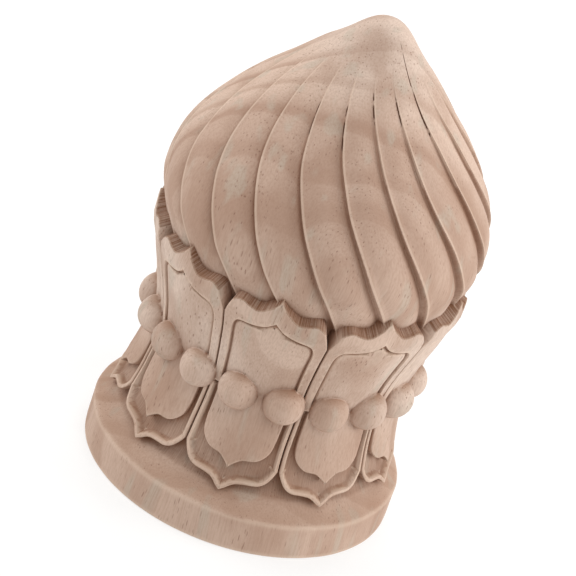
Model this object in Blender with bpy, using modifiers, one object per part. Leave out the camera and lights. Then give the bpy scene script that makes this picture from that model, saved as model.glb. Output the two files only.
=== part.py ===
"""Carved wooden finial for a fence or newel post.

One block of hardwood is turned to a base, a waist and an onion dome, and then carved: a ring
of hanging petals in two layers, a belt of beads, a cup of standing petals and twisted flutes.
Lengths are in metres, +Z is up, and the origin is the centre of the underside. A petal of the
cup and one of the hanging ring face -Y.
"""

import math

import bmesh
import bpy
from mathutils import Matrix, Vector
from mathutils.geometry import interpolate_bezier

# Counts that tie the rings of carving to each other
petal_count = 9
beads_per_petal = 2
flutes_per_petal = 2

# Base
base_diameter = 0.0900
base_side_height = 0.0106
base_bottom_ease = 0.0008
base_top_ease = 0.0006

# Heights, each counted from the level named before it
hanging_tip_rise = 0.0050
hanging_petal_height = 0.0288
cup_height = 0.0302
dome_equator_rise = 0.0116
dome_height = 0.0594

# Waist, where the belt of beads sits between the two rings of petals
waist_radius = 0.0369
bead_diameter = 0.0112
bead_proud = 0.0053
bead_turn = math.radians(2.9)

# Hanging petals: the outer layer, and the smaller layer that lies on it
hanging_tip_radius = 0.0424
hanging_flare = 2.1
hanging_dish = 0.0014
hanging_rim_width = 0.0011
hanging_rim_slope = 0.0010
hanging_notch_rise = 0.0104
hanging_inner_tip_rise = 0.0069
hanging_inner_notch_rise = 0.0086
hanging_inner_margin = math.radians(4.1)
hanging_inner_pillow = 0.0008
cove_depth = 0.0042

# Cup petals: a flat border, a groove along its inner edge and a rounded panel
cup_rim_radius = 0.0449
cup_lip_height = 0.0035
cup_flare = 1.3
panel_margin = math.radians(4.6)
groove_depth = 0.0011
groove_width = 0.0006
panel_pillow = 0.0007

# Dome and its flutes
dome_radius = 0.0458
dome_root_radius = 0.0368
dome_root_flare = 0.0026
dome_root_rise = 0.0060
flute_depth = 0.0021
flute_twist = math.radians(61.0)

# Cuts between neighbours and how far the carving reaches into the core
petal_gap = 0.0003
core_depth = 0.0035
root_depth = 0.0080

# Facets
turned_steps = 40
petal_columns = (-0.4, 0.0, 0.4)
bead_segments = 10
bead_rings = 6

# Levels and radii that follow from the sizes above
base_radius = base_diameter / 2
hanging_tip_level = base_side_height + hanging_tip_rise
belt_level = hanging_tip_level + hanging_petal_height
cup_rim_level = belt_level + cup_height
equator_level = cup_rim_level + dome_equator_rise
tip_level = equator_level + dome_height
petal_pitch = 2 * math.pi / petal_count
wrap_radius = (waist_radius + cup_rim_radius) / 2
core_radius = waist_radius - core_depth


def hanging_face(level):
    """Radius of the blank's surface under the belt, flaring towards the hanging tips."""
    share = max(0.0, (belt_level - level) / hanging_petal_height)
    return waist_radius + (hanging_tip_radius - waist_radius) * share ** hanging_flare


def cup_face(level):
    """Radius of the blank's surface above the belt, flaring to a short straight lip."""
    share = min(1.0, max(0.0, (level - belt_level) / (cup_height - cup_lip_height)))
    return waist_radius + (cup_rim_radius - waist_radius) * share ** cup_flare


def curve(start, start_handle, end_handle, end, count):
    """Points (radius, level) along one Bezier stretch of a turned outline."""
    knots = [Vector(knot) for knot in (start, start_handle, end_handle, end)]
    return [tuple(point) for point in interpolate_bezier(*knots, count)]


def collection(name):
    made = bpy.data.collections.new(name)
    bpy.context.scene.collection.children.link(made)
    return made


def add_object(name, bm, home):
    """Turn a bmesh into an object in one collection, with its faces pointing out."""
    bmesh.ops.recalc_face_normals(bm, faces=bm.faces)
    mesh = bpy.data.meshes.new(name)
    bm.to_mesh(mesh)
    bm.free()
    made = bpy.data.objects.new(name, mesh)
    home.objects.link(made)
    return made


def wood():
    """Unfinished pale hardwood."""
    material = bpy.data.materials.new("unfinished_hardwood")
    material.use_nodes = True
    shader = material.node_tree.nodes["Principled BSDF"]
    shader.inputs["Base Color"].default_value = (0.50, 0.35, 0.26, 1.0)
    shader.inputs["Roughness"].default_value = 0.72
    shader.inputs["Metallic"].default_value = 0.0
    return material


# Turned core: base with eased edges, cove under the petals, and the waist

def core_outline():
    """Outline of the core at +X, from its top on the axis down to the underside."""
    hidden_top = (belt_level + cup_rim_level) / 2
    cove_top = hanging_tip_level + hanging_notch_rise
    cove_foot = (base_radius - base_top_ease, base_side_height + base_top_ease)
    cove_head = (hanging_face(cove_top) - cove_depth, cove_top)
    reach = (cove_foot[0] - cove_head[0]) * 0.45
    rise = (cove_head[1] - cove_foot[1]) * 0.45
    outline = [(0.0, hidden_top), (core_radius, hidden_top), (core_radius, belt_level)]
    outline += curve(
        cove_head,
        (cove_head[0], cove_head[1] - rise),
        (cove_foot[0] - reach, cove_foot[1] + rise * 0.55),
        cove_foot,
        5,
    )
    outline += [
        (base_radius, base_side_height),
        (base_radius, base_bottom_ease),
        (base_radius - base_bottom_ease * 0.8, 0.0),
        (0.0, 0.0),
    ]
    return outline


def turned_core(home):
    bm = bmesh.new()
    verts = [bm.verts.new((radius, 0.0, level)) for radius, level in core_outline()]
    for upper, lower in zip(verts, verts[1:]):
        bm.edges.new((upper, lower))
    mesh = bpy.data.meshes.new("finial")
    bm.to_mesh(mesh)
    bm.free()
    made = bpy.data.objects.new("finial", mesh)
    home.objects.link(made)
    screw = made.modifiers.new("turned", "SCREW")
    screw.axis = "Z"
    screw.angle = 2 * math.pi
    screw.steps = turned_steps
    screw.render_steps = turned_steps
    screw.use_smooth_shade = False
    screw.use_merge_vertices = True
    screw.merge_threshold = 0.00001
    return made


# Dome: an onion outline, spun, then fluted by moving its columns

flute_columns = [
    (0.00, 0.00),
    (0.11, 0.12),
    (0.42, 0.00),
    (0.74, 0.22),
    (0.93, 1.00),
]


def dome_outline():
    """Outline of the dome's crests, from the axis inside the cup up to the tip."""
    root_level = belt_level + 0.62 * cup_height
    cone = (dome_radius * 0.36, equator_level + dome_height * 0.78)
    under = curve(
        (dome_root_radius, root_level),
        (dome_root_radius + dome_root_flare, root_level + dome_root_rise),
        (dome_radius, equator_level - dome_equator_rise * 0.39),
        (dome_radius, equator_level),
        4,
    )
    shoulder = curve(
        (dome_radius, equator_level),
        (dome_radius, equator_level + dome_height * 0.22),
        (cone[0] + dome_radius * 0.52, cone[1] - dome_height * 0.41),
        cone,
        7,
    )
    point = curve(
        cone,
        (cone[0] * 0.48, cone[1] + dome_height * 0.126),
        (cone[0] * 0.38, tip_level),
        (0.0, tip_level),
        4,
    )
    return [(0.0, root_level)] + under + shoulder[1:] + point[1:]


def flute_strength(radius, level):
    """Depth of the flutes at a level: full on the dome's belly, nothing at its tip."""
    fade_start = equator_level + dome_height * 0.55
    fade_end = equator_level + dome_height * 0.86
    fade = min(1.0, max(0.0, (fade_end - level) / (fade_end - fade_start)))
    return flute_depth * radius / dome_radius * fade


def flute_turn(level):
    """Angle that the flutes have turned through on their way up from the cup's rim."""
    return -flute_twist * (level - cup_rim_level) / (tip_level - cup_rim_level)


def fluted_dome(home):
    per_flute = len(flute_columns)
    flute_count = petal_count * flutes_per_petal
    columns = flute_count * per_flute
    bm = bmesh.new()
    verts = [bm.verts.new((0.0, -radius, level)) for radius, level in dome_outline()]
    edges = [bm.edges.new(pair) for pair in zip(verts, verts[1:])]
    bmesh.ops.spin(
        bm,
        geom=verts + edges,
        cent=(0, 0, 0),
        axis=(0, 0, 1),
        angle=2 * math.pi,
        steps=columns,
        use_merge=True,
    )
    bmesh.ops.remove_doubles(bm, verts=bm.verts, dist=0.00001)
    for vert in bm.verts:
        radius = math.hypot(vert.co.x, vert.co.y)
        if radius < 0.00001:
            continue
        around = math.atan2(vert.co.x, -vert.co.y) % (2 * math.pi)
        column = round(around / (2 * math.pi) * columns) % columns
        flute, place = divmod(column, per_flute)
        share, cut = flute_columns[place]
        angle = (flute + share) * 2 * math.pi / flute_count + flute_turn(vert.co.z)
        radius -= cut * flute_strength(radius, vert.co.z)
        vert.co.x = radius * math.sin(angle)
        vert.co.y = -radius * math.cos(angle)
    return add_object("fluted_dome", bm, home)


# Petals: flat sheets with a relief, bent round the body

def mirrored(half):
    """A whole outline from its right half, listed from the bottom middle to the top middle."""
    left = [(-across, level) for across, level in reversed(half) if across > 0]
    return half + left


def at_level(height_share, foot, height):
    return foot + height_share * height


def hanging_outer_half():
    """Right half of an outer hanging petal: ogee tip, round shoulder, notch, straight side."""
    edge = petal_pitch / 2 * wrap_radius - petal_gap / 2
    shape = [
        (0.000, 0.000),
        (0.250, 0.245),
        (0.450, 0.305),
        (0.650, 0.335),
        (0.810, 0.445),
        (0.925, 0.640),
        (1.000, 0.830),
    ]
    half = [(across * edge, at_level(up, hanging_tip_level, hanging_notch_rise)) for across, up in shape]
    return half + [(edge, belt_level), (0.0, belt_level)]


def hanging_inner_half():
    """Right half of an inner hanging petal, the same form drawn smaller."""
    edge = (petal_pitch / 2 - hanging_inner_margin) * wrap_radius
    tip = hanging_tip_level + hanging_inner_tip_rise
    shape = [
        (0.000, 0.000),
        (0.120, 0.170),
        (0.310, 0.340),
        (0.560, 0.380),
        (0.760, 0.520),
        (0.925, 0.790),
        (0.985, 1.250),
    ]
    half = [(across * edge, at_level(up, tip, hanging_inner_notch_rise)) for across, up in shape]
    return half + [(edge, belt_level), (0.0, belt_level)]


def cup_outer_half():
    """Right half of a cup petal's outline: straight side, shoulder, dip and centre point."""
    edge = petal_pitch / 2 * wrap_radius - petal_gap / 2
    shape = [
        (1.000, 0.780),
        (0.920, 0.885),
        (0.830, 0.965),
        (0.690, 0.995),
        (0.360, 0.960),
        (0.200, 1.010),
    ]
    half = [(0.0, belt_level), (edge, belt_level)]
    half += [(across * edge, at_level(up, belt_level, cup_height)) for across, up in shape]
    return half + [(0.0, at_level(1.125, belt_level, cup_height))]


def cup_panel_half():
    """Right half of the sunk panel's outline, which follows the petal's outline inside it."""
    edge = (petal_pitch / 2 - panel_margin) * wrap_radius
    shape = [
        (1.000, 0.620),
        (0.975, 0.690),
        (0.900, 0.745),
        (0.780, 0.765),
        (0.400, 0.785),
        (0.220, 0.810),
    ]
    half = [(0.0, belt_level), (edge, belt_level)]
    half += [(across * edge, at_level(up, belt_level, cup_height)) for across, up in shape]
    return half + [(0.0, at_level(0.905, belt_level, cup_height))]


def ring(bm, outline, depth):
    return [bm.verts.new((across, depth, level)) for across, level in outline]


def shrunk(outline, inset):
    """The outline drawn in towards its own inside by a small even distance."""
    moved = []
    count = len(outline)
    for index, (across, level) in enumerate(outline):
        before = Vector(outline[index - 1])
        after = Vector(outline[(index + 1) % count])
        along = (after - before).normalized()
        moved.append((across - along.y * inset, level + along.x * inset))
    return moved


def relief_sheet(rings):
    """A flat sheet of nested rings of equal count, given as (outline, depth), closed inside."""
    bm = bmesh.new()
    loops = [ring(bm, outline, depth) for outline, depth in rings]
    for outer, inner in zip(loops, loops[1:]):
        count = len(outer)
        for index in range(count):
            follow = (index + 1) % count
            bm.faces.new((outer[index], outer[follow], inner[follow], inner[index]))
    bm.faces.new(loops[-1])
    return bm


def cut_sheet(bm, columns, rows):
    """Add straight cuts along and across the sheet, so that it can bend round the body."""
    for across in columns:
        geometry = list(bm.verts) + list(bm.edges) + list(bm.faces)
        bmesh.ops.bisect_plane(
            bm, geom=geometry, dist=0.00002, plane_co=(across, 0, 0), plane_no=(1, 0, 0)
        )
    for level in rows:
        geometry = list(bm.verts) + list(bm.edges) + list(bm.faces)
        bmesh.ops.bisect_plane(
            bm, geom=geometry, dist=0.00002, plane_co=(0, 0, level), plane_no=(0, 0, 1)
        )


def thicken(bm):
    """Give the sheet its body, down to below the surface of the core."""
    made = bmesh.ops.extrude_face_region(bm, geom=list(bm.faces))
    back = [item for item in made["geom"] if isinstance(item, bmesh.types.BMVert)]
    for vert in back:
        vert.co.y = root_depth


def wrap(bm, face_radius, turn):
    """Bend the flat sheet round the axis: across becomes angle, depth goes inwards."""
    for vert in bm.verts:
        angle = vert.co.x / wrap_radius + turn
        radius = face_radius(vert.co.z) - vert.co.y
        vert.co.x = radius * math.sin(angle)
        vert.co.y = -radius * math.cos(angle)


def petal(name, rings, columns, rows, pillow, face_radius, turn, home):
    bm = relief_sheet(rings)
    cut_sheet(bm, columns, rows)
    for vert in bm.verts:
        vert.co.y += pillow(vert.co.x, vert.co.y)
    thicken(bm)
    wrap(bm, face_radius, turn)
    return add_object(name, bm, home)


def flat(across, depth):
    return 0.0


def hanging_outer_petal(turn, index, home):
    outline = mirrored(hanging_outer_half())
    rim = shrunk(outline, hanging_rim_width)
    dish = shrunk(rim, hanging_rim_slope)
    rings = [(outline, 0.0), (rim, 0.0), (dish, hanging_dish)]
    rows = [hanging_tip_level + share * hanging_petal_height for share in (0.25, 0.5)]
    return petal(
        f"hanging_outer_petal_{index}", rings, [0.0], rows, flat, hanging_face, turn, home
    )


def inner_pillow(across, depth):
    """Roundness of an inner hanging petal, highest along its middle."""
    edge = (petal_pitch / 2 - hanging_inner_margin) * wrap_radius
    return -hanging_inner_pillow * (1.0 - min(1.0, abs(across) / edge) ** 2)


def hanging_inner_petal(turn, index, home):
    rings = [(mirrored(hanging_inner_half()), 0.0)]
    columns = [share * wrap_radius * petal_pitch / 2 for share in petal_columns]
    rows = [hanging_tip_level + 0.5 * hanging_petal_height]
    return petal(
        f"hanging_inner_petal_{index}", rings, columns, rows, inner_pillow, hanging_face, turn, home
    )


def panel_pillowed(across, depth):
    """Roundness of a cup petal's panel, which rises from its groove to the middle."""
    if depth < groove_depth / 2:
        return 0.0
    edge = (petal_pitch / 2 - panel_margin) * wrap_radius - groove_width
    return -panel_pillow * (1.0 - min(1.0, abs(across) / edge) ** 2)


def cup_petal(turn, index, home):
    panel = mirrored(cup_panel_half())
    floor = shrunk(panel, groove_width)
    rings = [(mirrored(cup_outer_half()), 0.0), (panel, 0.0), (floor, groove_depth)]
    columns = [share * wrap_radius * petal_pitch / 2 for share in petal_columns]
    rows = [belt_level + 0.5 * cup_height]
    return petal(f"cup_petal_{index}", rings, columns, rows, panel_pillowed, cup_face, turn, home)


def bead(turn, index, home):
    """One ball of the belt, half sunk in the waist, with its pole facing outwards."""
    distance = waist_radius + bead_proud - bead_diameter / 2
    bm = bmesh.new()
    bmesh.ops.create_uvsphere(
        bm, u_segments=bead_segments, v_segments=bead_rings, radius=bead_diameter / 2
    )
    place = (
        Matrix.Rotation(turn, 4, "Z")
        @ Matrix.Translation((0.0, -distance, belt_level))
        @ Matrix.Rotation(math.pi / 2, 4, "X")
    )
    bmesh.ops.transform(bm, matrix=place, verts=bm.verts)
    return add_object(f"bead_{index}", bm, home)


def build():
    for old in list(bpy.data.objects):
        bpy.data.objects.remove(old, do_unlink=True)
    finial_home = collection("post_finial")
    carving = collection("carved_forms")
    finial = turned_core(finial_home)
    finial.data.materials.append(wood())

    fluted_dome(carving)
    for index in range(petal_count):
        turn = index * petal_pitch
        hanging_outer_petal(turn, index, carving)
        hanging_inner_petal(turn, index, carving)
        cup_petal(turn, index, carving)
    bead_count = petal_count * beads_per_petal
    for index in range(bead_count):
        turn = (index + 0.5) * 2 * math.pi / bead_count + bead_turn
        bead(turn, index, carving)
    for form in carving.objects:
        form.hide_render = True
        form.display_type = "WIRE"

    union = finial.modifiers.new("carved_as_one", "BOOLEAN")
    union.operation = "UNION"
    union.solver = "EXACT"
    union.operand_type = "COLLECTION"
    union.collection = carving


build()
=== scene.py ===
"""Looks of the carved fence post finial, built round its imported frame.

The finial is one block of bare, pale hardwood, turned and then carved. Lengths are in metres, +Z
is up, and a petal of each ring faces -Y.
"""

import math

import bmesh
import bpy
from mathutils import Matrix, Quaternion, Vector, noise
from mathutils.bvhtree import BVHTree
from mathutils.geometry import interpolate_bezier


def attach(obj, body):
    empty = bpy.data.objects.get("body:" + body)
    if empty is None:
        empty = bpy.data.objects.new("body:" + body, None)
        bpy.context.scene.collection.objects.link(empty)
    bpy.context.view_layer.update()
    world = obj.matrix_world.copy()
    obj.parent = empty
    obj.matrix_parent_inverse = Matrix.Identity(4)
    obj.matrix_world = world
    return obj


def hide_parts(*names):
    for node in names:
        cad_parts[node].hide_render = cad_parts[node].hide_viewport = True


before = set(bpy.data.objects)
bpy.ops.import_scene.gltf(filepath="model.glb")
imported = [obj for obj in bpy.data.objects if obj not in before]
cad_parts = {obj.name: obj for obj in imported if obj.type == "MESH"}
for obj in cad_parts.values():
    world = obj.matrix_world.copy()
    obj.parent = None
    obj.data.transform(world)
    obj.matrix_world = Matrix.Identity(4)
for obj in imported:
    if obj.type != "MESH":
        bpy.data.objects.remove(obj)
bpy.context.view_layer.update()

# Turned block: the round base, the cove above it and the waist. One piece of hardwood on a
# lathe, with its edges just broken by sandpaper. All the carving below is cut from this block.

base_radius = 0.0450
base_side_height = 0.0106
base_bottom_ease = 0.0008
base_top_ease = 0.0004
hanging_tip_rise = 0.0050
hanging_petal_height = 0.0288
hanging_notch_rise = 0.0104
cup_height = 0.0302
waist_radius = 0.0369
core_depth = 0.0035
cove_depth = 0.0042
hanging_tip_radius = 0.0424
hanging_flare = 2.1
turned_steps = 216
cove_curve_points = 18
same_point = 0.000001

hanging_tip_level = base_side_height + hanging_tip_rise
belt_level = hanging_tip_level + hanging_petal_height
cup_rim_level = belt_level + cup_height


def hanging_face(level):
    """Radius of the block under the belt, flaring towards the hanging tips."""
    share = max(0.0, (belt_level - level) / hanging_petal_height)
    return waist_radius + (hanging_tip_radius - waist_radius) * share ** hanging_flare


def curve(start, start_handle, end_handle, end, count):
    """Points (radius, level) along one Bezier stretch of a turned outline."""
    knots = [Vector(knot) for knot in (start, start_handle, end_handle, end)]
    return [tuple(point) for point in interpolate_bezier(*knots, count)]


def spun(outline, steps):
    """A closed body turned from an outline that starts and ends on the axis."""
    bm = bmesh.new()
    verts = [bm.verts.new((0.0, -radius, level)) for radius, level in outline]
    edges = [bm.edges.new(pair) for pair in zip(verts, verts[1:])]
    bmesh.ops.spin(
        bm, geom=verts + edges, cent=(0, 0, 0), axis=(0, 0, 1), angle=2 * math.pi, steps=steps,
        use_merge=True,
    )
    bmesh.ops.remove_doubles(bm, verts=bm.verts, dist=same_point)
    bmesh.ops.recalc_face_normals(bm, faces=bm.faces)
    return bm


def stored(name, bm):
    """Keep a finished form as an object, away from the scene until it is joined."""
    mesh = bpy.data.meshes.new(name)
    bm.to_mesh(mesh)
    bm.free()
    return bpy.data.objects.new(name, mesh)


cove_top = hanging_tip_level + hanging_notch_rise
cove_foot = (base_radius - base_top_ease, base_side_height + base_top_ease)
cove_head = (hanging_face(cove_top) - cove_depth, cove_top)
cove_reach = (cove_foot[0] - cove_head[0]) * 0.45
cove_rise = (cove_head[1] - cove_foot[1]) * 0.45
core_radius = waist_radius - core_depth
core_top = (belt_level + cup_rim_level) / 2
core_outline = [(0.0, core_top), (core_radius, core_top), (core_radius, belt_level)]
core_outline += curve(
    cove_head,
    (cove_head[0], cove_head[1] - cove_rise),
    (cove_foot[0] - cove_reach, cove_foot[1] + cove_rise * 0.55),
    cove_foot,
    cove_curve_points,
)
side_levels = [base_side_height - base_top_ease * 0.4]
side_levels += [base_side_height * share for share in (0.8, 0.6, 0.4, 0.2)]
core_outline += [(base_radius, level) for level in side_levels]
core_outline += [
    (base_radius - base_bottom_ease * 0.15, base_bottom_ease * 0.45),
    (base_radius - base_bottom_ease * 0.8, 0.0),
    (0.0, 0.0),
]
core = stored("turned_core", spun(core_outline, turned_steps))

# Dome: an onion turned at the top of the block, then carved with flutes that twist on their way
# up and run out just under the tip. A flute is a broad round back, which falls into a valley,
# and one steep step up to the sharp arris of the next.

petal_count = 9
flute_count = 2 * petal_count
dome_equator_rise = 0.0116
dome_height = 0.0594
dome_radius = 0.0458
dome_root_radius = 0.0368
dome_root_share = 0.62
dome_root_flare = 0.0026
dome_root_rise = 0.0060
on_axis = 0.00001
flute_depth = 0.0021
flute_twist = math.radians(61.0)
flute_fade_start = 0.55
flute_fade_end = 0.86
flute_section = [
    (0.000, 0.00), (0.030, 0.01), (0.070, 0.04), (0.115, 0.12), (0.160, 0.09), (0.230, 0.03),
    (0.310, 0.00), (0.400, 0.00), (0.480, 0.02), (0.560, 0.08), (0.640, 0.17), (0.720, 0.31),
    (0.800, 0.51), (0.865, 0.74), (0.910, 0.93), (0.935, 1.00), (0.955, 0.93), (0.980, 0.42),
]

equator_level = cup_rim_level + dome_equator_rise
tip_level = equator_level + dome_height
dome_root = belt_level + dome_root_share * cup_height
cone = (dome_radius * 0.36, equator_level + dome_height * 0.78)
dome_outline = [(0.0, dome_root)]
dome_outline += curve(
    (dome_root_radius, dome_root),
    (dome_root_radius + dome_root_flare, dome_root + dome_root_rise),
    (dome_radius, equator_level - dome_equator_rise * 0.39),
    (dome_radius, equator_level),
    20,
)
dome_outline += curve(
    (dome_radius, equator_level),
    (dome_radius, equator_level + dome_height * 0.22),
    (cone[0] + dome_radius * 0.52, cone[1] - dome_height * 0.41),
    cone,
    34,
)[1:]
dome_outline += curve(
    cone,
    (cone[0] * 0.48, cone[1] + dome_height * 0.126),
    (cone[0] * 0.38, tip_level),
    (0.0, tip_level),
    14,
)[1:]


def flute_fade(level):
    """How deep the flutes are at a level: full on the belly, nothing under the tip."""
    start = equator_level + dome_height * flute_fade_start
    end = equator_level + dome_height * flute_fade_end
    return min(1.0, max(0.0, (end - level) / (end - start)))


def flute_turn(level):
    """Angle that the flutes have turned through on their way up from the cup's rim."""
    return -flute_twist * (level - cup_rim_level) / (tip_level - cup_rim_level)


def polar(vert):
    """Angle of a point round the axis, counted from -Y towards +X, and its radius."""
    return math.atan2(vert.co.x, -vert.co.y), math.hypot(vert.co.x, vert.co.y)


def place_at(vert, angle, radius):
    """Move a point to an angle and a radius round the axis, at its own level."""
    vert.co.x = radius * math.sin(angle)
    vert.co.y = -radius * math.cos(angle)


dome_columns = flute_count * len(flute_section)
bm = spun(dome_outline, dome_columns)
for vert in bm.verts:
    angle, radius = polar(vert)
    if radius < on_axis:
        continue
    column = round(angle % (2 * math.pi) / (2 * math.pi) * dome_columns) % dome_columns
    flute, step = divmod(column, len(flute_section))
    share, cut = flute_section[step]
    angle = (flute + share) * 2 * math.pi / flute_count + flute_turn(vert.co.z)
    depth = flute_depth * radius / dome_radius * flute_fade(vert.co.z)
    place_at(vert, angle, radius - cut * depth)
dome = stored("fluted_dome", bm)

# Hanging petals: two layers of leaves under the belt, carved in the flare of the waist. The outer
# leaf is dished inside a thin rim, and the inner leaf lies in it with a slightly rounded face.

cup_rim_radius = 0.0449
petal_gap = 0.0005
root_depth = 0.0080
wrap_radius = (waist_radius + cup_rim_radius) / 2
petal_pitch = 2 * math.pi / petal_count
petal_edge = petal_pitch / 2 * wrap_radius - petal_gap / 2
hanging_dish = 0.0019
hanging_inner_tip_rise = 0.0069
hanging_inner_notch_rise = 0.0086
hanging_inner_margin = math.radians(4.1)
hanging_inner_pillow = 0.0010
hanging_rim_width = 0.0010
dish_section = [(0.0, 0.0), (0.0003, 0.25), (0.0007, 0.85), (0.0012, 1.0)]
edge_rounding = 0.00045
sheet_grid = 0.0012
on_cut = 0.00002
belt_overlap = 0.0004
belt_band = 0.0010
bulge_fade = 0.0060


def smooth_line(points, per_stretch):
    """A smooth line through points, with its two ends kept sharp."""
    line = []
    count = len(points)
    for index in range(count - 1):
        before = Vector(points[max(index - 1, 0)])
        start = Vector(points[index])
        end = Vector(points[index + 1])
        after = Vector(points[min(index + 2, count - 1)])
        stretch = interpolate_bezier(
            start, start + (end - before) / 6, end - (after - start) / 6, end, per_stretch + 1
        )
        line += stretch[:-1]
    return [tuple(point) for point in line] + [tuple(points[-1])]


def scaled(shape, edge, foot, rise):
    """Points given as shares across and up, as real places on the flat sheet."""
    return [(across * edge, foot + up * rise) for across, up in shape]


def even_line(start, end, count):
    """Evenly spaced points after the start, up to and without the end."""
    return [tuple(Vector(start).lerp(Vector(end), step / count)) for step in range(1, count)]


def mirrored(half):
    """A whole outline from its right half, whose two ends lie on the middle line."""
    left = [(-across, level) for across, level in reversed(half) if across > 0.0]
    return half + left


def shrunk(outline, inset):
    """The outline drawn in towards its own inside by a small even distance."""
    moved = []
    count = len(outline)
    for index, (across, level) in enumerate(outline):
        before = Vector(outline[index - 1])
        after = Vector(outline[(index + 1) % count])
        along = (after - before).normalized()
        moved.append((across - along.y * inset, level + along.x * inset))
    return moved


def relief(rings, bulge):
    """A flat relief of nested outlines, each with its depth, cut into a fine grid."""
    bm = bmesh.new()
    loops = []
    for outline, depth in rings:
        verts = [bm.verts.new((across, depth, level)) for across, level in outline]
        loops.append([bm.edges.new(pair) for pair in zip(verts, verts[1:] + verts[:1])])
    for outer, inner in zip(loops, loops[1:]):
        bmesh.ops.bridge_loops(bm, edges=outer + inner)
    bm.faces.new(verts)
    low, high = min(level for _, level in rings[0][0]), max(level for _, level in rings[0][0])
    across = math.ceil(petal_edge / sheet_grid)
    up = math.ceil((high - low) / sheet_grid)
    planes = [((step * sheet_grid, 0, 0), (1, 0, 0)) for step in range(-across, across + 1)]
    planes += [((0, 0, low + step * sheet_grid), (0, 0, 1)) for step in range(1, up)]
    for point, normal in planes:
        everything = list(bm.verts) + list(bm.edges) + list(bm.faces)
        bmesh.ops.bisect_plane(bm, geom=everything, dist=on_cut, plane_co=point, plane_no=normal)
    for vert in bm.verts:
        vert.co.y += bulge(vert.co.x, vert.co.y, vert.co.z)
    return bm


def carved_ring(name, bm, face_radius, top_slope, copies):
    """Give a relief its body, bend it round the axis, and repeat it round the block."""
    made = bmesh.ops.extrude_face_region(bm, geom=list(bm.faces))
    for item in made["geom"]:
        if isinstance(item, bmesh.types.BMVert):
            item.co.y = root_depth
            item.co.z += top_slope * max(0.0, item.co.z - belt_level) / cup_height
    for vert in bm.verts:
        place_at(vert, vert.co.x / wrap_radius, face_radius(vert.co.z) - vert.co.y)
    one = list(bm.verts) + list(bm.edges) + list(bm.faces)
    for copy in range(1, copies):
        twin = bmesh.ops.duplicate(bm, geom=one)
        verts = [item for item in twin["geom"] if isinstance(item, bmesh.types.BMVert)]
        bmesh.ops.rotate(
            bm, verts=verts, cent=(0, 0, 0), matrix=Matrix.Rotation(copy * petal_pitch, 3, "Z")
        )
    bmesh.ops.recalc_face_normals(bm, faces=bm.faces)
    return stored(name, bm)


def rounded_edge(outline):
    """The outer rings of a relief, whose front edge is rounded over by wear and sanding."""
    rings = [(outline, edge_rounding)]
    for turn in (math.radians(30.0), math.radians(60.0), math.radians(90.0)):
        inset = edge_rounding * (1.0 - math.cos(turn))
        rings.append((shrunk(outline, inset), edge_rounding * (1.0 - math.sin(turn))))
    return rings


hanging_top = belt_level + belt_overlap
outer_tip = [(0.0, 0.0), (0.095, 0.085), (0.25, 0.245), (0.45, 0.305), (0.65, 0.335),
             (0.81, 0.445), (0.925, 0.64), (1.0, 0.83)]
outer_half = smooth_line(scaled(outer_tip, petal_edge, hanging_tip_level, hanging_notch_rise), 4)
outer_half += even_line(outer_half[-1], (petal_edge, hanging_top), 8)
outer_half += [(petal_edge, hanging_top), (petal_edge / 2, hanging_top), (0.0, hanging_top)]
outer_leaf = mirrored(outer_half)
outer_rings = rounded_edge(outer_leaf)
outer_rings += [
    (shrunk(outer_leaf, hanging_rim_width + reach), hanging_dish * share)
    for reach, share in dish_section
]


def flush_top(across, depth, level):
    """Brings the dish of an outer leaf up to its face close under the belt."""
    return -depth if level > belt_level - belt_band else 0.0


hanging_outer = carved_ring(
    "hanging_outer", relief(outer_rings, flush_top), hanging_face, 0.0, petal_count
)

inner_edge = (petal_pitch / 2 - hanging_inner_margin) * wrap_radius
inner_foot = hanging_tip_level + hanging_inner_tip_rise
inner_tip = [(0.0, 0.0), (0.12, 0.17), (0.31, 0.34), (0.56, 0.38), (0.76, 0.52), (0.925, 0.79),
             (0.985, 1.25)]
inner_half = smooth_line(scaled(inner_tip, inner_edge, inner_foot, hanging_inner_notch_rise), 4)
inner_half += even_line(inner_half[-1], (inner_edge, hanging_top), 6)
inner_half += [(inner_edge, hanging_top), (inner_edge / 2, hanging_top), (0.0, hanging_top)]
inner_leaf = mirrored(inner_half)


def leaf_bulge(across, depth, level):
    """Roundness of an inner hanging leaf, highest along its middle."""
    below_belt = min(1.0, max(0.0, (belt_level - level) / bulge_fade))
    return -hanging_inner_pillow * (1.0 - min(1.0, abs(across) / inner_edge) ** 2) * below_belt


hanging_inner = carved_ring(
    "hanging_inner", relief(rounded_edge(inner_leaf), leaf_bulge), hanging_face, 0.0, petal_count
)

# Cup petals: nine upright leaves that flare to the cup's rim, with a small point in the middle of
# each top edge. A flat border runs round a panel, and a narrow groove parts the two.

cup_lip_height = 0.0035
cup_flare = 1.3
petal_top_slope = 0.0040
panel_margin = math.radians(4.1)
groove_depth = 0.0012
groove_width = 0.0009
groove_section = [(-0.15, 0.0), (0.10, 0.85), (0.25, 1.0), (0.60, 0.7), (1.2, 0.4)]
panel_start = 0.39
panel_pillow = 0.0009
panel_pillow_top = 0.77


def cup_face(level):
    """Radius of the block above the belt, flaring to a short straight lip."""
    share = min(1.0, max(0.0, (level - belt_level) / (cup_height - cup_lip_height)))
    return waist_radius + (cup_rim_radius - waist_radius) * share ** cup_flare


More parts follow.
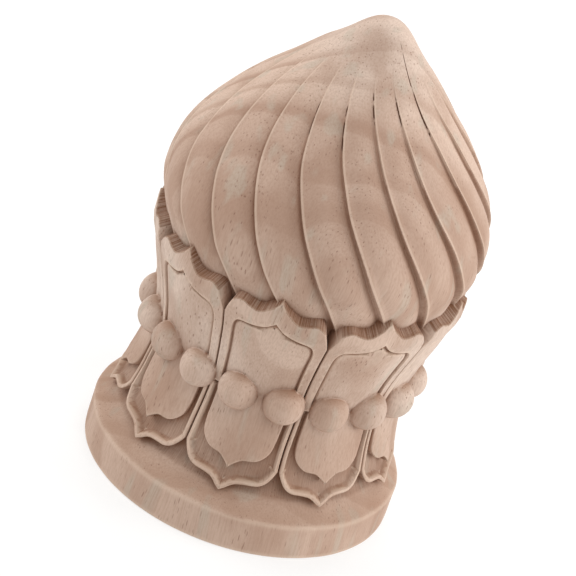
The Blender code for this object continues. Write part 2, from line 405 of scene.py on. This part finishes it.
cup_foot = belt_level - belt_overlap
cup_top = [(1.0, 0.78), (0.92, 0.885), (0.83, 0.965), (0.69, 0.995), (0.54, 0.975),
           (0.36, 0.96), (0.2, 1.01), (0.09, 1.06), (0.0, 1.125)]
cup_side = (petal_edge, belt_level + cup_top[0][1] * cup_height)
cup_half = [(0.0, cup_foot), (petal_edge / 2, cup_foot), (petal_edge, cup_foot)]
cup_half += even_line((petal_edge, cup_foot), cup_side, 8)
cup_half += smooth_line(scaled(cup_top, petal_edge, belt_level, cup_height), 4)
panel_edge = (petal_pitch / 2 - panel_margin) * wrap_radius
panel_top = [(1.0, 0.62), (0.975, 0.69), (0.9, 0.745), (0.78, 0.765), (0.59, 0.772),
             (0.4, 0.785), (0.22, 0.81), (0.1, 0.85), (0.0, 0.89)]
panel_side = (panel_edge, belt_level + panel_top[0][1] * cup_height)
panel_half = [(0.0, cup_foot), (panel_edge / 2, cup_foot), (panel_edge, cup_foot)]
panel_half += even_line((panel_edge, cup_foot), panel_side, 8)
panel_half += smooth_line(scaled(panel_top, panel_edge, belt_level, cup_height), 4)
panel = mirrored(panel_half)
cup_rings = rounded_edge(mirrored(cup_half))
cup_rings += [
    (shrunk(panel, groove_width * reach), groove_depth * share) for reach, share in groove_section
]


def panel_bulge(across, depth, level):
    """Roundness of a cup petal's panel, which rises from its groove to the middle."""
    if level < belt_level + belt_band:
        return -depth
    if depth < groove_depth * panel_start:
        return 0.0
    inside = 1.0 - min(1.0, abs(across) / (panel_edge - groove_width)) ** 2.5
    top = belt_level + panel_pillow_top * cup_height
    below_top = min(1.0, max(0.0, (top - level) / bulge_fade))
    return -panel_pillow * inside * below_top ** 0.5


cup = carved_ring(
    "cup_petals", relief(cup_rings, panel_bulge), cup_face, petal_top_slope, petal_count
)

# Floor of the gaps between the petals, as deep as the knife went: above the belt a little under
# the faces of the cup petals, and below it just under the dishes of the hanging ones.

gap_depth = 0.0014
gap_under_dish = 0.0004
gap_top_share = 0.70
gap_foot_rise = 0.0012
gap_steps = 14
gap_top = belt_level + gap_top_share * cup_height
gap_bottom = hanging_tip_level + hanging_notch_rise + gap_foot_rise
gap_rise = gap_top - gap_bottom
gap_levels = [gap_bottom + gap_rise * step / gap_steps for step in range(gap_steps + 1)]


def gap_radius(level):
    """Radius of the gaps' floor, under the face of either ring of petals."""
    if level < belt_level:
        return hanging_face(level) - hanging_dish - gap_under_dish
    return cup_face(level) - gap_depth


gap_outline = [(0.0, gap_bottom)]
gap_outline += [(gap_radius(level), level) for level in gap_levels]
gap_outline += [(0.0, gap_top)]
gap_floor = stored("gap_floor", spun(gap_outline, turned_steps))

# Belt of beads: two balls to each petal, left standing round the waist and half sunk in it.

beads_per_petal = 2
bead_diameter = 0.0115
bead_proud = 0.0055
bead_turn = math.radians(2.9)
bead_distance = waist_radius + bead_proud - bead_diameter / 2

bm = bmesh.new()
bead_count = petal_count * beads_per_petal
for index in range(bead_count):
    turn = (index + 0.5) * 2 * math.pi / bead_count + bead_turn
    bead_stand = (
        Matrix.Rotation(turn, 4, "Z")
        @ Matrix.Translation((0.0, -bead_distance, belt_level))
        @ Matrix.Rotation(math.pi / 2, 4, "X")
    )
    bmesh.ops.create_uvsphere(
        bm, u_segments=28, v_segments=18, radius=bead_diameter / 2, matrix=bead_stand
    )
beads = stored("beads", bm)

# The forms above are one block of wood, so they are joined into one closed body. Knife and
# sandpaper leave it uneven by some tenths of a millimetre, with the petals a little off centre.

hand_wander = 0.00042
hand_wavelength = 0.0140
hand_seed = 5
surface_waver = 0.00016
surface_wavelength = 0.0052
surface_shift = Vector((7.3, 1.9, 4.1))
still_underside = 0.0002
wander_rise = 0.0120
wander_fade = 0.0100
near_axis = 0.0100
petals_off_centre = 0.0006
petal_top_reach = 0.0060
sliver_area = 4.0e-9
torn_facing = 0.50
sunk_depth = 0.0010
sunk_shade_and_torn = 0.50
step_start = 0.90
step_torn = 0.30
# Painted shade in the flute valleys, as a share of the same mark.
valley_start = 0.58
valley_shade = 0.28
check_share = 0.958
check_spread = 0.048
check_fade = 0.0012
check_spans = {
    0: (0.1170, 0.1265), 1: (0.1170, 0.1275), 2: (0.1240, 0.1315), 3: (0.1255, 0.1320),
    4: (0.1230, 0.1430), 9: (0.1190, 0.1290), 12: (0.1130, 0.1220), 13: (0.1240, 0.1330),
}


def torn_and_shaded(vert, share):
    """Torn fibres at petal tops, hanging tips and flute steps, painted shade in flute valleys, and
    both in sunk places.
    """
    if vert.co.z > cup_rim_level + petal_top_reach:
        # Painted shade: the flute's back is drawn browner as it falls into the valley.
        valley = valley_shade * max(0.0, share - valley_start) / (step_start - valley_start)
        return flute_fade(vert.co.z) * (step_torn if share > step_start else valley)
    facings = [0.0]
    facings += [face.normal.z for face in vert.link_faces if face.calc_area() > sliver_area]
    under_tip = hanging_tip_level < vert.co.z < cove_top and min(facings) < -torn_facing
    petal_top = vert.co.z > belt_level + bead_diameter / 2 and max(facings) > torn_facing
    if under_tip or petal_top:
        return 1.0
    hanging = hanging_tip_level < vert.co.z < belt_level
    standing = belt_level + belt_band < vert.co.z < cup_rim_level
    face = hanging_face(vert.co.z) if hanging else cup_face(vert.co.z)
    # Partly torn fibre and partly painted shade: places sunk more than a millimetre below the face
    # are drawn dark.
    sunk = math.hypot(vert.co.x, vert.co.y) < face - sunk_depth
    return sunk_shade_and_torn if sunk and (hanging or standing) else 0.0


def check_line(vert, flute, share):
    """Nearness to one of the drying checks, which opened beside some arrises under the tip."""
    low, high = check_spans.get(flute, (1.0, 1.0))
    inside = min(1.0, max(0.0, min(vert.co.z - low, high - vert.co.z) / check_fade))
    return inside * max(0.0, 1.0 - abs(share - check_share) / check_spread)


def body_round(seed):
    """All points of the body that one of its points belongs to."""
    body = {seed}
    front = [seed]
    while front:
        for edge in front.pop().link_edges:
            for vert in edge.verts:
                if vert not in body:
                    body.add(vert)
                    front.append(vert)
    return body


carved_forms = (gap_floor, hanging_outer, hanging_inner, cup, beads, dome)
bpy.context.scene.collection.objects.link(core)
for form in carved_forms:
    bpy.context.scene.collection.objects.link(form)
    union = core.modifiers.new(form.name, "BOOLEAN")
    union.operation = "UNION"
    union.solver = "MANIFOLD"
    union.object = form
graph = bpy.context.evaluated_depsgraph_get()
joined = bpy.data.meshes.new_from_object(core.evaluated_get(graph))
for form in (core, *carved_forms):
    bpy.data.objects.remove(form)

bm = bmesh.new()
bm.from_mesh(joined)
finial_body = body_round(max(bm.verts, key=lambda vert: vert.co.z))
crumbs = [vert for vert in bm.verts if vert not in finial_body]
bmesh.ops.delete(bm, geom=crumbs, context="VERTS")
bm.normal_update()
torn_grain_and_shade = bm.verts.layers.float.new("torn_grain_and_shade")
check_nearness = bm.verts.layers.float.new("check_line")
for vert in bm.verts:
    angle, radius = polar(vert)
    flute, share = divmod((angle - flute_turn(vert.co.z)) * flute_count / (2 * math.pi), 1.0)
    vert[torn_grain_and_shade] = torn_and_shaded(vert, share)
    vert[check_nearness] = check_line(vert, round(flute) % flute_count, share)
noise.seed_set(hand_seed)
for vert in bm.verts:
    if vert.co.z < still_underside:
        continue
    angle, radius = polar(vert)
    wander = noise.noise_vector(vert.co / hand_wavelength) * hand_wander
    shallow = noise.noise(vert.co / surface_wavelength + surface_shift)
    lift = min(1.0, vert.co.z / wander_rise) * min(1.0, (tip_level - vert.co.z) / wander_fade)
    angle += wander.x * lift / max(radius, near_axis)
    radius -= (0.5 + 0.5 * shallow) * surface_waver * min(1.0, radius / near_axis)
    place_at(vert, angle, radius)
    along_petals = min(1.0, max(0.0, (vert.co.z - base_side_height) / cup_rim_level))
    vert.co.x += petals_off_centre * math.sin(math.pi * along_petals)
    vert.co.z += wander.z * lift
mesh = bpy.data.meshes.new("carved_wood")
bm.to_mesh(mesh)
bm.free()
wood_piece = bpy.data.objects.new("carved_wood", mesh)
bpy.context.scene.collection.objects.link(wood_piece)

# The mesh keeps marks for the colour as well: how deep each place lies in a recess, for painted
# shade there, how sharp an edge it is on, for wear and a painted highlight there, and how far a
# turned face looks along the grain.

recess_reach = 0.0060
recess_rays = 32
ray_lift = 0.0001
full_sharpness = math.radians(45.0)
wear_and_highlight_width = 0.0007
wear_and_highlight_beside_edge = 0.8
sharpest_smooth_fold = math.radians(38.0)

piece_tree = BVHTree.FromObject(wood_piece, bpy.context.evaluated_depsgraph_get())
golden = math.pi * (3.0 - math.sqrt(5.0))
dome_of_rays = []
for index in range(recess_rays):
    rise = math.sqrt(1.0 - (index + 0.5) / recess_rays)
    out = math.sqrt(1.0 - rise * rise)
    turn = golden * index
    dome_of_rays.append(Vector((out * math.cos(turn), out * math.sin(turn), rise)))


def shut_in(vert):
    """Share of the open air over a point that near wood takes away."""
    turn = Vector((0.0, 0.0, 1.0)).rotation_difference(vert.normal)
    start = vert.co + vert.normal * ray_lift
    shut = 0.0
    for ray in dome_of_rays:
        distance = piece_tree.ray_cast(start, turn @ ray, recess_reach)[3]
        if distance is not None:
            shut += 1.0 - distance / recess_reach
    return shut / recess_rays


def bend_at(vert):
    """Sharpest outward bend between the faces round a point, slivers left out."""
    bends = [0.0]
    for edge in vert.link_edges:
        if min(face_areas[face.index] for face in edge.link_faces) > sliver_area:
            bends.append(edge.calc_face_angle_signed(0.0))
    return max(bends)


def sharpness(vert):
    """How sharp an outward edge runs through a point or close by it, from none to one."""
    bend = bend_at(vert)
    for edge in vert.link_edges:
        if edge.calc_length() < wear_and_highlight_width:
            bend = max(bend, wear_and_highlight_beside_edge * bend_at(edge.other_vert(vert)))
    return min(1.0, bend / full_sharpness)


for name in ("recess", "edge_wear_and_highlight", "end_grain"):
    mesh.attributes.new(name, "FLOAT", "POINT")
bm = bmesh.new()
bm.from_mesh(mesh)
face_areas = [face.calc_area() for face in bm.faces]
for vert in bm.verts:
    turned_face = abs(vert.normal.z) if vert.co.z < cup_rim_level else 0.0
    mesh.attributes["recess"].data[vert.index].value = shut_in(vert)
    mesh.attributes["edge_wear_and_highlight"].data[vert.index].value = sharpness(vert)
    mesh.attributes["end_grain"].data[vert.index].value = turned_face
bm.free()

mesh.shade_smooth()
mesh.set_sharp_from_angle(angle=sharpest_smooth_fold)
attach(wood_piece, "root")
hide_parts("finial")

# Bare hardwood: pinkish tan, with broad soft growth rings round a pith behind the block, short
# dark pores and fine fibres that run up the block, and brown fuzz where the knife cut across the
# grain. It has no oil or lacquer, so it is matt. Sizes in the pattern are in millimetres.

ring_width = 8.2
ring_sway = 14.0
pith_place = (1.0, 56.0, 0.0)
pith_lean = (math.radians(-3.0), math.radians(2.0), 0.0)
pore_spacing = 0.85
pore_length = 6.0
ticks_round = 150.0

def colour(code):
    """An sRGB hex colour as linear red, green, blue and alpha."""
    parts = [int(code[index:index + 2], 16) / 255 for index in (0, 2, 4)]
    linear = [part / 12.92 if part <= 0.04045 else ((part + 0.055) / 1.055) ** 2.4 for part in parts]
    return (*linear, 1.0)


def add_node(tree, kind, settings=None, links=None, values=None):
    """Add one node: its settings, its input links and its plain input values."""
    node = tree.nodes.new(kind)
    for name, value in (settings or {}).items():
        setattr(node, name, value)
    for socket, source in (links or {}).items():
        tree.links.new(source, node.inputs[socket])
    for socket, value in (values or {}).items():
        node.inputs[socket].default_value = value
    return node


material = bpy.data.materials.new("bare_hardwood")
material.use_nodes = True
tree = material.node_tree
shader = tree.nodes["Principled BSDF"]


def marked(name):
    """What the mesh carries under a name."""
    return add_node(tree, "ShaderNodeAttribute", {"attribute_name": name}).outputs["Fac"]


def vector_math(operation, links, values=None):
    """Result of a vector node: a length has its own output."""
    node = add_node(tree, "ShaderNodeVectorMath", {"operation": operation}, links, values)
    return node.outputs["Value" if operation == "LENGTH" else "Vector"]


def number_math(operation, links, values=None):
    """Result of a number node."""
    return add_node(tree, "ShaderNodeMath", {"operation": operation}, links, values).outputs[0]


def cells(vector, across, along):
    """A place counted in cells of a size across the grain and a size along it."""
    return vector_math("MULTIPLY", {0: vector}, {1: (1 / across, 1 / across, 1 / along)})


def ramp(source, low, high, end=1.0):
    """A socket turned into a smooth rise from none, at its low value, to the end at its high."""
    settings = {"interpolation_type": "SMOOTHSTEP"}
    values = {"From Min": low, "From Max": high, "To Max": end}
    return add_node(tree, "ShaderNodeMapRange", settings, {"Value": source}, values).outputs["Result"]


def cloud(vector, detail):
    """Soft noise from none to one, with blots of about one cell."""
    values = {"Scale": 1.0, "Detail": detail}
    return add_node(tree, "ShaderNodeTexNoise", {}, {"Vector": vector}, values).outputs["Fac"]


def toward(base, code, amount):
    """A colour drawn towards a second one by the amount in a socket."""
    settings = {"data_type": "RGBA"}
    node = add_node(tree, "ShaderNodeMix", settings, {0: amount, 6: base}, {7: colour(code)})
    return node.outputs[2]


object_place = add_node(tree, "ShaderNodeTexCoord").outputs["Object"]
place = vector_math("SCALE", {0: object_place}, {"Scale": 1000.0})

# The rings are wide, and waver as the tree grew. Each darkens outwards and then stops short.
sway = add_node(
    tree, "ShaderNodeTexNoise", {}, {"Vector": cells(place, 34.0, 70.0)},
    {"Scale": 1.0, "Detail": 1.0},
).outputs["Color"]
swayed = vector_math("MULTIPLY_ADD", {0: sway, 2: place}, {1: (ring_sway, ring_sway, 0.0)})
from_pith = vector_math("SUBTRACT", {0: swayed}, {1: pith_place})
leaned = add_node(
    tree, "ShaderNodeMapping", {"vector_type": "POINT"}, {"Vector": from_pith},
    {"Rotation": pith_lean, "Scale": (1.0, 1.0, 0.0)},
).outputs["Vector"]
ring_place = vector_math("LENGTH", {0: leaned})
ring_count = number_math("MULTIPLY", {0: ring_place}, {1: 1 / ring_width})
ring_share = number_math("FRACT", {0: ring_count})
ring_rise = ramp(ring_share, 0.10, 0.92)
ring_end = ramp(ring_share, 0.92, 1.00)
ring_dark = number_math("SUBTRACT", {0: ring_rise, 1: ring_end})
uneven = add_node(
    tree, "ShaderNodeTexNoise", {"noise_dimensions": "1D"}, {"W": ring_count},
    {"Scale": 1.1, "Detail": 2.0},
).outputs["Fac"]
ring_tone = number_math("MULTIPLY", {0: ring_dark, 1: ramp(uneven, 0.30, 0.70)})

# A browner zone crosses the dome, and the wood is paler at the tip and round the cup petals.
heart_edge = number_math("MULTIPLY_ADD", {0: uneven, 2: ring_place}, {1: 9.0})
level = add_node(tree, "ShaderNodeSeparateXYZ", {}, {"Vector": place}).outputs["Z"]
heart_level = number_math("MULTIPLY", {0: ramp(level, 68.0, 84.0), 1: ramp(level, 136.0, 122.0)})
heart_start = ramp(heart_edge, 70.0, 78.0)
heart_rings = number_math("MULTIPLY", {0: heart_start, 1: ramp(heart_edge, 112.0, 100.0)})
heart = number_math("MULTIPLY", {0: heart_level, 1: heart_rings})
pale_level = number_math("MULTIPLY", {0: ramp(level, 32.0, 48.0), 1: ramp(level, 82.0, 72.0)})
pale_rings = number_math("MULTIPLY", {0: ramp(heart_edge, 96.0, 86.0), 1: pale_level})
pale = number_math("MAXIMUM", {0: pale_rings, 1: ramp(level, 124.0, 140.0)})
patches = ramp(cloud(cells(place, 17.0, 26.0), 2.0), 0.44, 0.68, 0.50)
fibres = ramp(cloud(cells(swayed, 0.42, 11.0), 2.0), 0.35, 0.75, 0.28)
speckle = ramp(cloud(cells(place, 0.50, 1.0), 1.0), 0.40, 0.80, 0.12)
grey_streak = ramp(cloud(cells(swayed, 5.0, 40.0), 1.0), 0.58, 0.72, 0.45)

# Pores are tubes 0.2 mm wide. On faces along the grain they show as dashes of a few millimetres.
pore_cell = add_node(
    tree, "ShaderNodeTexVoronoi", {}, {"Vector": cells(swayed, pore_spacing, pore_length)},
    {"Scale": 1.0},
)
pore_near = ramp(pore_cell.outputs["Distance"], 0.24, 0.10)
pore_spread = ramp(cloud(cells(place, 9.0, 24.0), 1.0), 0.36, 0.60)
pores = number_math("MULTIPLY", {0: pore_near, 1: pore_spread})

base = add_node(tree, "ShaderNodeRGB").outputs[0]
base.default_value = colour("d3b9a7")
base = toward(base, "a98874", number_math("MULTIPLY", {0: ring_tone}, {1: 0.65}))
base = toward(base, "a07c68", number_math("MULTIPLY", {0: heart}, {1: 0.36}))
base = toward(base, "e0d0c3", number_math("MULTIPLY", {0: pale}, {1: 0.42}))
base = toward(base, "a98874", ramp(level, 46.0, 30.0, 0.30))
base = toward(base, "a98874", patches)
base = toward(base, "bdb2a2", grey_streak)
base = toward(base, "9c7964", fibres)
base = toward(base, "947260", speckle)
base = toward(base, "7f5c4a", number_math("MULTIPLY", {0: pores}, {1: 0.60}))

# Cut across the grain the wood is browner, and where it was torn it is dark, with pale ticks of
# raised fibre, 0.6 mm apart, that run from the axis outwards. The same mark also paints shade into
# the flute valleys, and into sunk places along with their torn fibres.
end_grain = ramp(marked("end_grain"), 0.55, 1.0, 0.62)
base = toward(base, "966f54", end_grain)
flattened = vector_math("MULTIPLY", {0: place}, {1: (1.0, 1.0, 0.0)})
outward = vector_math("NORMALIZE", {0: flattened})
tick_place = vector_math("MULTIPLY", {0: outward}, {1: (ticks_round, ticks_round, 0.0)})
ticks = cloud(tick_place, 2.0)
torn_and_shade_places = marked("torn_grain_and_shade")
torn_between = number_math("MULTIPLY_ADD", {0: ramp(ticks, 0.68, 0.32)}, {1: 0.45, 2: 0.42})
torn_and_shade_dark = number_math("MULTIPLY", {0: torn_and_shade_places, 1: torn_between})
# Torn fibre, with painted shade in the flute valleys and sunk places.
base = toward(base, "704526", torn_and_shade_dark)
# Painted shade: places that nearby wood closes in on are drawn dark brown.
base = toward(base, "80502f", ramp(marked("recess"), 0.08, 0.55, 0.58))
# Partly wear and partly painted highlight: sharp outward edges and arrises are drawn paler.
base = toward(base, "dec6b1", ramp(marked("edge_wear_and_highlight"), 0.30, 1.00, 0.42))

# The drying checks are thin, dark and broken.
check_stretch = ramp(cloud(cells(place, 2.4, 2.4), 1.5), 0.34, 0.48)
checks = number_math("MULTIPLY", {0: check_stretch, 1: ramp(marked("check_line"), 0.30, 0.60)})
base = toward(base, "5c3d2e", checks)

tree.links.new(base, shader.inputs["Base Color"])
shader.inputs["Roughness"].default_value = 0.78
shader.inputs["Specular IOR Level"].default_value = 0.22

# The surface is sanded, but fibres, pores and torn ends can be felt.
fuzz = cloud(cells(place, 0.30, 0.30), 2.0)
torn_height = number_math("MULTIPLY", {0: torn_and_shade_places, 1: ticks})
height = number_math("MULTIPLY", {0: fibres}, {1: -0.35})
height = number_math("MULTIPLY_ADD", {0: pores, 2: height}, {1: -0.60})
height = number_math("MULTIPLY_ADD", {0: fuzz, 2: height}, {1: 0.25})
height = number_math("MULTIPLY_ADD", {0: torn_height, 2: height}, {1: 1.60})
height = number_math("MULTIPLY_ADD", {0: checks, 2: height}, {1: -2.50})
bump = add_node(
    tree, "ShaderNodeBump", {}, {"Height": height}, {"Strength": 0.6, "Distance": 0.00012}
)
tree.links.new(bump.outputs["Normal"], shader.inputs["Normal"])
mesh.materials.append(material)

# Floor and light: a plain white floor and soft light from four large panels, two at the sides,
# one behind and one above.

floor_size = 3.0
light_distance = 1.0
floor_bm = bmesh.new()
bmesh.ops.create_grid(floor_bm, x_segments=1, y_segments=1, size=floor_size)
floor_mesh = bpy.data.meshes.new("floor")
floor_bm.to_mesh(floor_mesh)
floor_bm.free()
floor = bpy.data.objects.new("floor", floor_mesh)
bpy.context.scene.collection.objects.link(floor)
floor_material = bpy.data.materials.new("white_paper")
floor_material.use_nodes = True
floor_shader = floor_material.node_tree.nodes["Principled BSDF"]
floor_shader.inputs["Base Color"].default_value = colour("a8a8a7")
floor_shader.inputs["Roughness"].default_value = 0.9
floor_shader.inputs["Specular IOR Level"].default_value = 0.0
floor_shader.inputs["Emission Color"].default_value = colour("ffffff")
floor_shader.inputs["Emission Strength"].default_value = 0.62
floor_mesh.materials.append(floor_material)

world = bpy.data.worlds.new("studio")
bpy.context.scene.world = world
world.use_nodes = True
world.node_tree.nodes["Background"].inputs["Color"].default_value = colour("ffffff")
world.node_tree.nodes["Background"].inputs["Strength"].default_value = 0.45


def direction(azimuth, elevation):
    """The way to a place in the studio, from its angles in degrees round and above the finial."""
    turn, rise = math.radians(azimuth), math.radians(elevation)
    return Vector((math.sin(turn) * math.cos(rise), -math.cos(turn) * math.cos(rise), math.sin(rise)))


def panel_light(name, azimuth, elevation, size, watts):
    """A square soft light that looks at the finial's middle."""
    light = bpy.data.lights.new(name, "AREA")
    light.shape = "SQUARE"
    light.size = size
    light.energy = watts
    lamp = bpy.data.objects.new(name, light)
    bpy.context.scene.collection.objects.link(lamp)
    away = direction(azimuth, elevation)
    lamp.location = Vector((0.0, 0.0, tip_level / 2)) + away * light_distance
    lamp.rotation_euler = away.to_track_quat("Z", "Y").to_euler()


panel_light("left", -95.0, 33.0, 0.75, 4.6)
panel_light("right", 95.0, 15.0, 0.60, 5.4)
panel_light("back", 180.0, 50.0, 0.60, 3.6)
panel_light("top", 25.0, 60.0, 0.60, 3.0)

# Camera: a long lens a little above the finial, rolled so that the finial leans to the right.

aim = Vector((-0.0025, 0.0, 0.0589))
camera_azimuth = 3.385
camera_elevation = 28.278
camera_roll = math.radians(19.25)
camera_distance = 0.8959
camera_data = bpy.data.cameras.new("camera")
camera_data.sensor_width = 36.0
camera_data.lens = 201.96
camera = bpy.data.objects.new("camera", camera_data)
bpy.context.scene.collection.objects.link(camera)
away = direction(camera_azimuth, camera_elevation)
camera.location = aim + away * camera_distance
rolled = away.to_track_quat("Z", "Y") @ Quaternion((0.0, 0.0, 1.0), camera_roll)
camera.rotation_euler = rolled.to_euler()
bpy.context.scene.camera = camera
bpy.context.scene.view_settings.view_transform = "Standard"
